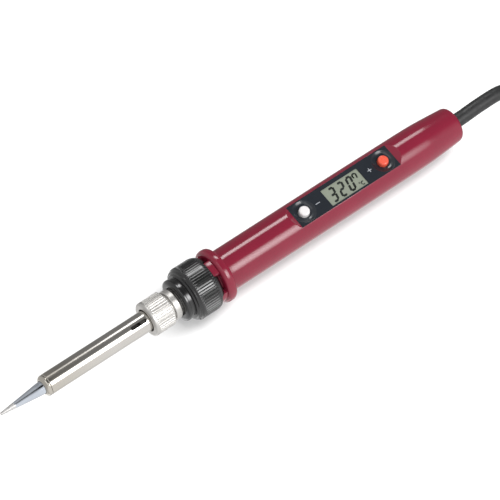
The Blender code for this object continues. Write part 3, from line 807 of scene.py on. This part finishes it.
def flattened(station, radius, turn):
    """Cuts the display's flat and its two end ramps into the turned handle, with soft edges."""
    slope = (HANDLE_RADIUS - PANEL_TOP) / RAMP_LENGTH
    beyond = np.maximum(FLAT_FRONT - station, station - FLAT_REAR) * slope
    height = PANEL_TOP - soft_least(-beyond, np.zeros_like(beyond), 0.15)
    upwards = np.cos(turn)
    reach = np.where(upwards > 0.2, height / np.maximum(upwards, 0.2), 99.0)
    cut = soft_least(radius, np.broadcast_to(reach, radius.shape), 0.02)
    return np.where((reach < 40) & (radius > 7.6), cut, radius)


def handle_angles():
    """Angles round the handle, closer together along the edges of its flat."""
    fine = np.arange(0, 50, 0.8)
    coarse = np.linspace(50, 180, 64)
    side = np.radians(np.concatenate([fine, coarse]))
    return np.concatenate([side, 2 * math.pi - side[1:-1][::-1]])


def close_at_ramps(profile, spacing):
    """The same profile with its points closer together round the flat's two end ramps."""
    points = []
    for a, b in zip(profile, profile[1:], strict=False):
        front, rear = a[0] - FLAT_FRONT, a[0] - FLAT_REAR
        near = -3.6 < front < 0.9 or -0.9 < rear < 3.6
        parts = max(1, round(np.linalg.norm(b - a) / spacing)) if near else 1
        points.extend(a + (b - a) * k / parts for k in range(parts))
    return np.array([*points, profile[-1]])


def make_shell():
    """Red handle: flange bead, slight belly, the display's flat, and four lugs in the collar."""
    bead = []
    for i in range(25):
        c, s = math.cos(math.pi * i / 24), math.sin(math.pi * i / 24)
        bead.append((104.95 - math.copysign(2.25 * abs(c) ** 0.8, c), 9.6 + 2.15 * s**0.65, 0))
    rear, exit_radius = REAR_STATION, CORD_RADIUS + 0.35
    corners = [
        (94, 7.95, 0), (102.7, 7.95, 0.2), *bead, (107.55, 9.05, 0.35), (109, 8.95, 0.5),
        (124.5, 8.97, 3), (169.5, HANDLE_RADIUS, 3), (205.6, 8.93, 3), (212, 8.8, 3),
        (217, 8.5, 2.5), (222, 8.15, 2.3), (rear, 7.6, 2.3), (rear, exit_radius, 0.3),
    ]
    outer = close_at_ramps(subdivided(rounded(corners, 8), 1.2), 0.12)
    inner = [(rear, exit_radius, 0), (224, exit_radius, 0.5), (220, 6.9, 0.5), (94, 6.9, 0)]
    profile = np.concatenate([outer, rounded(inner, 3)[1:]])
    how = {"loop": True, "shape": flattened, "angles": handle_angles(), "sharp": 40}
    shell = turned("handle_shell_fine", profile, RED, **how)
    side = PANEL_HALF_WIDTH + 0.02
    low = at(FLAT_FRONT + 0.01, -side, PANEL_TOP - PANEL_THICK - 0.3)
    carve(shell, block("pocket", low, at(FLAT_REAR - 0.01, side, PANEL_TOP + 1)))
    form = bmesh.new()
    form.from_mesh(shell.data)
    ring = rounded([(103.4, 8.5, 0), (100.0, 8.5, 0.1), (100.0, 10.3, 0.35), (103.4, 10.3, 0)])
    for slab in crossed_slabs("lug", 99, 105, 7.1):
        arm = turned("lug_pair", subdivided(ring, 0.8), None, 180, loop=True)
        carve(arm, slab, "INTERSECT")
        soften(arm, 0.3, 3, 40)
        form.from_mesh(arm.data)
        bpy.data.objects.remove(arm)
    form.to_mesh(shell.data)
    form.free()
    smooth(shell, 27)
    place_on(shell, "handle", "red_plastic", "handle_shell")


# ---- display panel


def button_middle(side):
    """The point on the iron's axis under a button, on the front side (-1) or the rear (1)."""
    return at(PANEL_MIDDLE + side * BUTTON_OFFSET)


def make_panel():
    """Black panel: a rounded window, and a shallow bowl round each button."""
    x = at(PANEL_MIDDLE).x
    half_long, half_wide = (PANEL_LENGTH / 2 - 0.02) * MM, PANEL_HALF_WIDTH * MM
    outline = round_rectangle((x, 0), half_long, half_wide, 0.25 * MM)
    under, top = at(0, 0, PANEL_TOP - PANEL_THICK).z, at(0, 0, PANEL_TOP).z
    panel = plate("display_panel_fine", outline, under, top, PANEL)
    half_long, half_wide = (size / 2 * MM for size in WINDOW)
    outline = round_rectangle((x, WINDOW_ASIDE * MM), half_long, half_wide, 0.3 * MM)
    carve(panel, plate("window", outline, AXIS_Z, 0.03))
    bowl = [(BOWL_FLOOR - 0.3, 0.0), (BOWL_FLOOR - 0.3, 2.3)]
    for i in range(17):
        out = (BOWL_RADIUS - BOWL_START) * i / 16
        rise = -math.log(math.cos(BOWL_CURVE * out)) / BOWL_CURVE
        bowl.append((BOWL_FLOOR + rise, BOWL_START + out))
    bowl += [(PANEL_TOP + 1.0, BOWL_RADIUS + 0.3), (PANEL_TOP + 1.0, 0.0)]
    hole = [(0.0, 0.0), (0.0, BUTTON_HOLE), (12.0, BUTTON_HOLE), (12.0, 0.0)]
    for side in (-1, 1):
        middle = button_middle(side)
        carve(panel, turned("bowl", np.array(bowl), steps=144, over=middle))
        carve(panel, turned("hole", np.array(hole), over=middle))
    soften(panel, 0.05, 2, 28, join=0.03)
    panel.data.set_sharp_from_angle(angle=math.radians(45))
    modify(panel, "WEIGHTED_NORMAL", keep_sharp=True, weight=90)
    place_on(panel, "handle", "panel_black", "display_panel")


def make_button(name, side, finish, slot):
    """Button cap with a crowned top, and a flange that keeps it under the panel."""
    under, top = PANEL_TOP - PANEL_THICK, BUTTON_TOP
    r = BUTTON_RADIUS
    corners = [
        (top - 0.10, 0, 0), (top, 0.9, 0.6), (top, r - 0.42, 0.35), (top - 0.5, r, 0.5),
        (under - 0.4, r, 0.1), (under - 0.4, r + 0.6, 0.1),
        (under - 0.9, r + 0.6, 0.1), (under - 0.9, 0, 0),
    ]
    middle = button_middle(side)
    cap = turned(f"{name}_button_fine", rounded(corners, 6), finish, over=middle)
    place_on(cap, f"{name}_button", slot, f"{name}_button_cap")


# ---- display


def marks(name, rings, low, finish, slot):
    """Flat closed shapes of ink, in the panel's own x and y, from a height upwards."""
    form = bmesh.new()
    base_x = at(PANEL_MIDDLE).x
    for ring in rings:
        bottom, top = (
            [form.verts.new((base_x + x * MM, y * MM, AXIS_Z + z * MM)) for x, y in ring]
            for z in (low, low + INK)
        )
        form.faces.new(top)
        form.faces.new(bottom[::-1])
        for i in range(len(ring)):
            k = (i + 1) % len(ring)
            form.faces.new((top[k], top[i], bottom[i], bottom[k]))
    place_on(object_from(name, form, finish), "handle", slot)


def bar(a, b, width, point):
    """A bar between two points with pointed ends, as display segments have."""
    (ax, ay), (bx, by) = a, b
    length = math.hypot(bx - ax, by - ay)
    dx, dy = (bx - ax) / length, (by - ay) / length
    h = width / 2
    nx, ny = -dy * h, dx * h
    ex, ey = dx * h * point, dy * h * point
    return [
        (ax, ay), (ax + ex + nx, ay + ey + ny), (bx - ex + nx, by - ey + ny),
        (bx, by), (bx - ex - nx, by - ey - ny), (ax + ex - nx, ay + ey - ny),
    ]


def digit_rings(symbol, centre_x, centre_y):
    """The lit segments of one digit."""
    gap = SEGMENT_GAP
    x1, y1 = (DIGIT[0] - STROKE) / 2, (DIGIT[1] - STROKE) / 2
    x0, y0 = -x1, -y1
    ends = {
        "a": ((x0 + gap, y1), (x1 - gap, y1)),
        "b": ((x1, y1 - gap), (x1, gap)),
        "c": ((x1, -gap), (x1, y0 + gap)),
        "d": ((x0 + gap, y0), (x1 - gap, y0)),
        "e": ((x0, -gap), (x0, y0 + gap)),
        "f": ((x0, y1 - gap), (x0, gap)),
        "g": ((x0 + gap, 0), (x1 - gap, 0)),
    }
    for segment in LIT[symbol]:
        ring = bar(*ends[segment], STROKE, 0.6)
        yield [(centre_x + x + DIGIT_SLANT * y, centre_y + y) for x, y in ring]


def arc(centre, radius, start, end, width, parts=8):
    """A thick arc as one closed outline."""
    turns = [math.radians(start + (end - start) * k / parts) for k in range(parts + 1)]
    inner, outer = radius - width / 2, radius + width / 2
    line = [(outer, a) for a in turns] + [(inner, a) for a in reversed(turns)]
    return [(centre[0] + r * math.cos(a), centre[1] + r * math.sin(a)) for r, a in line]


def make_display():
    """Display face under the window, with a reading and two small signs after it."""
    half_long, half_wide = ((size / 2 + 0.25) * MM for size in WINDOW)
    middle = (at(PANEL_MIDDLE).x, WINDOW_ASIDE * MM)
    outline = round_rectangle(middle, half_long, half_wide, 0.2 * MM)
    face = plate("lcd_face", outline, AXIS_Z + 4.9 * MM, AXIS_Z + FACE_TOP * MM, LCD)
    place_on(face, "handle", "lcd", "lcd_glass")
    rings = []
    for symbol, x in READING:
        rings += digit_rings(symbol, x, WINDOW_ASIDE - 0.05)
    hook = [arc((6.75, 1.5), 0.95, 15, 205, 0.72)]
    hook += [bar((7.65, 1.9), (7.15, 0.0), 0.72, 0.4), bar((5.8, 1.5), (5.95, 0.5), 0.6, 0.4)]
    celsius = [arc((7.7, -3.05), 0.75, 50, 310, 0.46), arc((6.35, -2.35), 0.28, 0, 355, 0.26)]
    marks("display_segments", rings + hook + celsius, FACE_TOP, SEGMENT, "lcd")


def make_signs():
    """Minus and plus, printed on the panel beside the buttons."""
    minus = [(-14.75, -0.33), (-12.6, -0.33), (-12.6, 0.03), (-14.75, 0.03)]
    marks("minus_mark", [minus], PANEL_TOP, PRINT, "white_button")
    arm, half_width = 0.95, 0.17
    corner = [(arm, -half_width), (arm, half_width), (half_width, half_width)]
    plus = []
    for _ in range(4):
        plus += [(13.3 + x, -0.18 + y) for x, y in corner]
        corner = [(-y, x) for x, y in corner]
    marks("plus_mark", [plus], PANEL_TOP, PRINT, "white_button")


TIP = make_tip()
TUBE = make_tube()
NUT = make_nut()
BUSH = make_bush()
make_collar()
make_shell()
make_panel()
make_button("minus", -1, WHITE, "white_button")
make_button("plus", 1, ORANGE, "red_button")
make_display()
make_signs()


# ---- plug and tie


def make_tie():
    """Woven strap round the middle of the hank."""
    low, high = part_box("hank_tie")
    middle, top = (low[0] + high[0]) / 2, high[2]
    half = (hank_side(0) + CORD_RADIUS + 0.5 + TIE_THICK) * MM
    thick, wide, inset = TIE_THICK * MM, 9 * MM, 0.3 * MM

    def loop(inwards):
        tall, corner = top / 2 - inwards, 2.6 * MM - inwards
        outline = round_rectangle((0, 0), half - inwards, tall, corner, 8)
        return [(y, top / 2 + z) for y, z in outline]

    edge, side = thick * 0.3, wide / 2
    rows = [(inset, side - edge), (inset + edge, side), (thick, side), (inset + thick, side - edge)]
    rows += [(inwards, -x) for inwards, x in reversed(rows)]
    points = [(middle + x, y, z) for inwards, x in rows for y, z in loop(inwards)]
    faces = ring_faces(len(rows), len(points) // len(rows), loop=True)
    strap = mesh_from("hank_strap", points, faces, STRAP)
    return place_on(strap, "handle", "cord_black", "hank_tie")


def make_boot():
    """Ribbed strain relief that widens towards the plug."""
    low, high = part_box("plug_boot")
    length, bore, front_radius, rear_radius = 22.0, 3.2, 4.0, 6.0
    corners = [(0.0, bore, 0), (0.0, front_radius, 0.4)]
    for i in range(6):
        s = 2.0 + i * 2.9
        r = front_radius + (rear_radius - front_radius) * s / length
        corners += [(s, r, 0.3), (s + 0.25, r - 0.75, 0.2)]
        corners += [(s + 1.05, r - 0.75, 0.2), (s + 1.3, r + 0.1, 0.3)]
    corners += [(length, rear_radius, 0.3), (length, bore, 0)]
    profile = subdivided(rounded(corners, 4), 1.0)
    boot = turned("plug_boot_fine", profile, PLUG_BLACK, loop=True)
    away = (low[0] - TIP_X, 0, (low[2] + high[2]) / 2 - AXIS_Z)
    boot.data.transform(Matrix.Translation(away))
    return place_on(boot, "handle", "black_plastic", "plug_boot")


def plug_half_width(share, width):
    """Half the plug's width at a share of its length: round shoulders, then a waist to grip."""
    shoulder = math.sin(math.pi / 2 * min(1.0, (share + 0.02) / 0.36)) ** 0.8
    waist = math.sin(math.pi * min(1.0, max(0.0, (share - 0.32) / 0.5))) ** 2
    return min(width / 2, width / 2 * (0.42 + 0.58 * shoulder) - 0.0016 * waist)


def make_plug_body():
    """Plug with soft edges, and short grip grooves in the waist of both its sides."""
    low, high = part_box("plug_body")
    length, width = high[0] - low[0], high[1] - low[1]
    side = [(low[0] + length * i / 28, plug_half_width(i / 28, width)) for i in range(29)]
    outline = side + [(x, -y) for x, y in reversed(side)]
    body = plate("plug_body_fine", outline, low[2], high[2], PLUG_BLACK)
    soften(body, 2.2, 5, 50)
    half_groove = 0.0005
    for way in (-1, 1):
        for share in (0.44 + 0.065 * i for i in range(5)):
            x, y = low[0] + length * share, plug_half_width(share, width) - 0.0006
            near, far = sorted((way * y, way * (y + 0.004)))
            x0, x1 = x - half_groove, x + half_groove
            ring = [(x0, near), (x1, near), (x1, far), (x0, far)]
            carve(body, plate("grip", ring, low[2] + 0.003, high[2] - 0.003))
    smooth(body, 40)
    return place_on(body, "handle", "black_plastic", "plug_body")


def make_pins():
    """Plated pins with a plastic sleeve on the half next to the plug."""
    ring = [(0.0, 1.7, 0), (0.0, 2.0, 0.1), (9.6, 2.0, 0.12), (9.6, 1.7, 0)]
    sleeve = subdivided(rounded(ring, 4), 1.0)
    made = []
    for i in (1, 2):
        low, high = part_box(f"plug_pin_{i}")
        length = (high[0] - low[0]) / MM
        corners = [(0.0, 0, 0), (0.0, 1.9, 0), (length - 1.9, 1.98, 1.2), (length, 1.15, 0.6)]
        bare = rounded([*corners, (length, 0, 0)], 6)
        pin = turned(f"plug_pin_{i}_fine", subdivided(bare, 1.0), PIN_PLATE, 64)
        cover = turned(f"plug_pin_{i}_sleeve", sleeve, PLUG_BLACK, 64, loop=True)
        away = (low[0] - TIP_X, (low[1] + high[1]) / 2, (low[2] + high[2]) / 2 - AXIS_Z)
        for piece in (pin, cover):
            piece.data.transform(Matrix.Translation(away))
        place_on(pin, "handle", "brass", f"plug_pin_{i}")
        place_on(cover, "handle", "black_plastic")
        made += [pin, cover]
    return made


make_tie()
make_boot()
make_plug_body()
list(make_pins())


# ---- carried-over CAD nodes

HEATER_NODES = ("heater_element", "heater_mount", "heater_lead_1", "heater_lead_2")
SENSOR_LEADS = ("sensor_lead_1", "sensor_lead_2")
SWITCHES = [f"{name}_switch_{part}" for name in ("minus", "plus") for part in ("body", "plunger")]
CHIPS = ("microcontroller", "triac", "electrolytic_capacitor", "lcd_connector")
INNER = {
    # the heater and its mount take the greyed ceramic with its painted shade
    GREYED_AND_SHADED_CERAMIC: ("heater_element", "heater_mount"),
    STEEL: ("bush_washer", "clamp_screw"),
    BRASS: ("bush_locknut",),
    BOARD: ("circuit_board",),
    CHIP: (*CHIPS, *SWITCHES),
    BLUE: ("film_capacitor",),
    GREY: ("dropper_resistor",),
    LCD: ("lcd_rear_glass",),
    BLACK: ("cord_clamp",),
    WIRE_WHITE: ("heater_lead_1", "heater_lead_2", "fuse"),
    WIRE_BLUE: ("sensor_lead_1", "neutral_core"),
    WIRE_BROWN: ("sensor_lead_2", "live_core"),
    WIRE_GREEN: ("earth_core",),
}


def finish_inner_nodes():
    for finish, names in INNER.items():
        for name in names:
            slots = NODES[name].material_slots
            if slots:
                for slot in slots:
                    slot.material = finish
            else:
                NODES[name].data.materials.append(finish)


finish_inner_nodes()


# ---- floor and light

FLOOR_GREY = 0.45
FLOOR_GLOW = 0.36  # keeps the floor pale under the soft shadows
WHITE_LIGHT = (1.0, 1.0, 1.0)


def make_floor():
    """Plain pale floor just under the iron, which its pieces don't reflect."""
    form = bmesh.new()
    bmesh.ops.create_circle(form, cap_ends=True, segments=96, radius=4.0)
    grey = (FLOOR_GREY,) * 3
    paint, hand = material("floor_white", grey, 0.9, Specular_IOR_Level=0.0)
    hand.fill(hand.shader, Emission_Color=WHITE_LIGHT, Emission_Strength=FLOOR_GLOW)
    shades = ((shade,) * 3 for shade in (FLOOR_GREY - 0.005, FLOOR_GREY + 0.005))
    hand.set("Base Color", hand.drift(hand.noise(3.0, 1.0), *shades))
    floor = object_from("floor", form, paint)
    floor.location = (0.15, 0, -0.0002)
    floor.visible_glossy = False
    return floor


def area_light(
    name, tilt, distance, length, width, strength, shares=(1.0, 1.0), shift=0.0, fullness=1.0
):
    """A light over the iron, long along it.

    Its tilt is from straight up towards +Y, seen along the iron, and it stands towards +X
    by as much as the camera stands towards -X. It fades towards its long edges, less so with
    a lower fullness, and to shares of its strength over the tip's end and the cord's end.
    """
    ahead = math.sqrt(1 - SIGHT_TILT**2)
    a = math.radians(tilt)
    towards = Vector((SIGHT_TILT, ahead * math.sin(a), ahead * math.cos(a)))
    along = Vector((0, math.cos(a), -math.sin(a))).cross(towards)
    side = towards.cross(along)
    data = bpy.data.lights.new(name, "AREA")
    data.shape = "RECTANGLE"
    data.size, data.size_y = length, width
    data.energy = strength * math.pi * length * width
    lamp = link(name, data)
    place = Vector((shift, 0, AXIS_Z)) + towards * distance
    lamp.matrix_world = facing(along, side, towards, place)
    lamp.visible_camera = False
    data.use_nodes = True
    hand = Tree(data.node_tree)
    geometry = hand.new("ShaderNodeNewGeometry")
    across = hand.math("MULTIPLY", hand.part(geometry.outputs["Parametric"], "Y"), math.pi)
    shaped = hand.math("POWER", hand.math("SINE", across), fullness)
    x = hand.part(geometry.outputs["Position"], "X")
    over_tip, over_cord = shares
    for start, end, low, high in ((0.34, 0.5, 1.0, over_cord), (0.22, 0.3, over_tip, 1.0)):
        shaped = hand.math("MULTIPLY", shaped, hand.spread(x, low, high, start, end))
    hand.fill(hand.tree.nodes["Emission"], Strength=shaped)
    return lamp


def listed(name, pieces, state):
    """A collection of pieces that a light includes or leaves out."""
    group = bpy.data.collections.new(name)
    for piece in pieces:
        group.objects.link(piece)
    for entry in group.collection_objects:
        entry.light_linking.link_state = state
    return group


def make_lights(floor):
    """Two long soft lights for the pieces, and one over the floor that gives the soft shadow.

    The slender pieces and the lead cast no shadow from the one overhead, as in a photograph
    with light from all round.
    """
    strip = area_light(
        "strip", tilt=43.0, distance=0.9, length=0.51, width=0.28, strength=9.0,
        shares=(0.08, 0.72), shift=-0.04, fullness=0.45,
    )
    broad = area_light(
        "broad", tilt=-38.0, distance=0.9, length=0.48, width=0.62, strength=8.0,
        shares=(1.0, 0.26), shift=-0.035,
    )
    overhead = area_light("overhead", tilt=-4.0, distance=1.0, length=1.4, width=0.6, strength=12.0)
    for lamp, state in ((strip, "EXCLUDE"), (broad, "EXCLUDE"), (overhead, "INCLUDE")):
        group = listed(f"{lamp.name} receivers", [floor], state)
        lamp.light_linking.receiver_collection = group
    slender = [TIP, TUBE, NUT, BUSH, LEAD, *(NODES[name] for name in HEATER_NODES + SENSOR_LEADS)]
    group = listed("overhead blockers", slender, "EXCLUDE")
    overhead.light_linking.blocker_collection = group


def make_world():
    """White surroundings whose brightness is what the shiny pieces reflect.

    x, y and z are parts of the direction that is looked in. It is bright on the iron's right
    and below, and dim on its left, with a narrow band of its own for the tip and the tube.
    """
    world = bpy.data.worlds.new("studio")
    bpy.context.scene.world = world
    world.use_nodes = True
    hand = Tree(world.node_tree)
    place = hand.new("ShaderNodeTexCoord").outputs["Generated"]
    x, y, z = (hand.part(place, axis) for axis in "XYZ")

    def ramp(value, start, end, low, high):
        return hand.spread(value, low, high, start, end, "SMOOTHSTEP")

    def both(a, b):
        return hand.math("MULTIPLY", a, b)

    def brighter(a, b):
        return hand.math("MAXIMUM", a, b)

    around = brighter(ramp(y, -0.75, -0.1, 1.03, 0.235), ramp(x, -0.1, 0.33, 0.6, 0.0))
    around = brighter(around, ramp(z, -0.8, -0.5, 0.86, 0.0))
    near_tip = both(ramp(x, -0.4, -0.25, 0.0, 1.0), ramp(x, -0.02, 0.06, 1.5, 0.0))
    near_tip = both(near_tip, ramp(hand.math("ABSOLUTE", y), 0.35, 0.5, 1.0, 0.0))
    around = brighter(around, near_tip)
    low_end = both(ramp(x, 0.02, 0.08, 0.0, 1.0), ramp(x, 0.22, 0.28, 1.0, 0.0))
    off_middle = brighter(ramp(y, 0.18, 0.36, 0.03, 1.6), ramp(y, -0.24, -0.14, 1.0, 0.04))
    beside = ramp(low_end, 0.0, 1.0, 1.0, 0.0)
    share = hand.math("ADD", beside, both(low_end, off_middle))
    background = hand.tree.nodes["Background"]
    hand.fill(background, Strength=both(around, share), Color=WHITE_LIGHT)


make_lights(make_floor())
make_world()
bpy.context.scene.view_settings.view_transform = "Standard"
